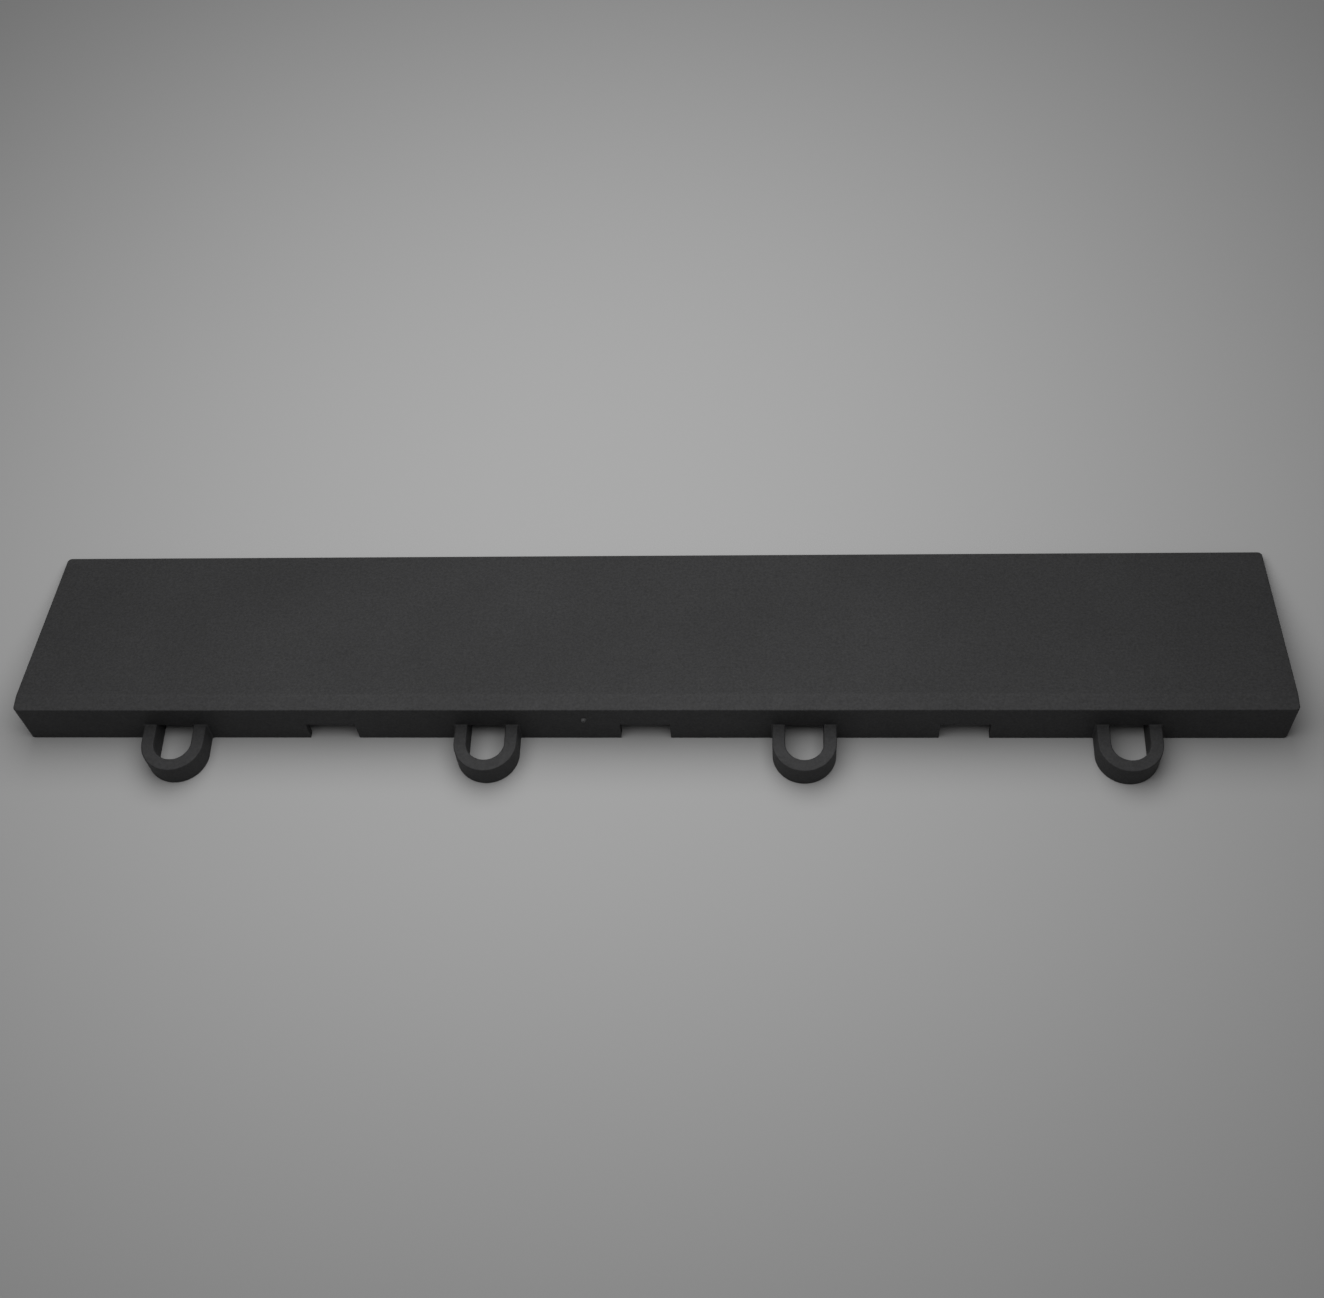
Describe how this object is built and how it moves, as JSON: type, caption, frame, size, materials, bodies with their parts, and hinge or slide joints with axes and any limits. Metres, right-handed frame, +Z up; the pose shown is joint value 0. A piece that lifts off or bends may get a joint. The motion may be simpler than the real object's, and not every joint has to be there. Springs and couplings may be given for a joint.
{
  "type": "floor tile edge ramp",
  "caption": "Sloped edge strip for click-together floor tiles: a hollow ribbed wedge from tile height down to the floor, with round-ended coupling loops along its tile side.",
  "frame": {"origin": "on the floor, at the middle of the whole footprint with the coupling loops included", "axes": "+X along the tile's edge, +Y from the tile towards the thin toe of the ramp, +Z up"},
  "size_m": [0.4, 0.0842, 0.018],
  "materials": {
    "black_polypropylene": "fine matt moulded grain"
  },
  "bodies": {
    "root": {"level_band": "black_polypropylene", "ramp_deck": "black_polypropylene", "tile_side_wall": "black_polypropylene", "toe_strip": "black_polypropylene", "end_wall_left": "black_polypropylene", "end_wall_right": "black_polypropylene", "coupling_loop_1": "black_polypropylene", "coupling_loop_2": "black_polypropylene", "coupling_loop_3": "black_polypropylene", "coupling_loop_4": "black_polypropylene", "loop_root_1_left": "black_polypropylene", "loop_root_1_right": "black_polypropylene", "loop_root_2_left": "black_polypropylene", "loop_root_2_right": "black_polypropylene", "loop_root_3_left": "black_polypropylene", "loop_root_3_right": "black_polypropylene", "loop_root_4_left": "black_polypropylene", "loop_root_4_right": "black_polypropylene", "cross_rib_01": "black_polypropylene", "cross_rib_02": "black_polypropylene", "cross_rib_03": "black_polypropylene", "cross_rib_04": "black_polypropylene", "cross_rib_05": "black_polypropylene", "cross_rib_06": "black_polypropylene", "cross_rib_07": "black_polypropylene", "cross_rib_08": "black_polypropylene", "cross_rib_09": "black_polypropylene", "cross_rib_10": "black_polypropylene", "cross_rib_11": "black_polypropylene", "cross_rib_12": "black_polypropylene", "cross_rib_13": "black_polypropylene", "cross_rib_14": "black_polypropylene", "cross_rib_15": "black_polypropylene", "cross_rib_16": "black_polypropylene", "length_rib_1": "black_polypropylene", "length_rib_2": "black_polypropylene", "length_rib_3": "black_polypropylene"}
  },
  "joints": []
}
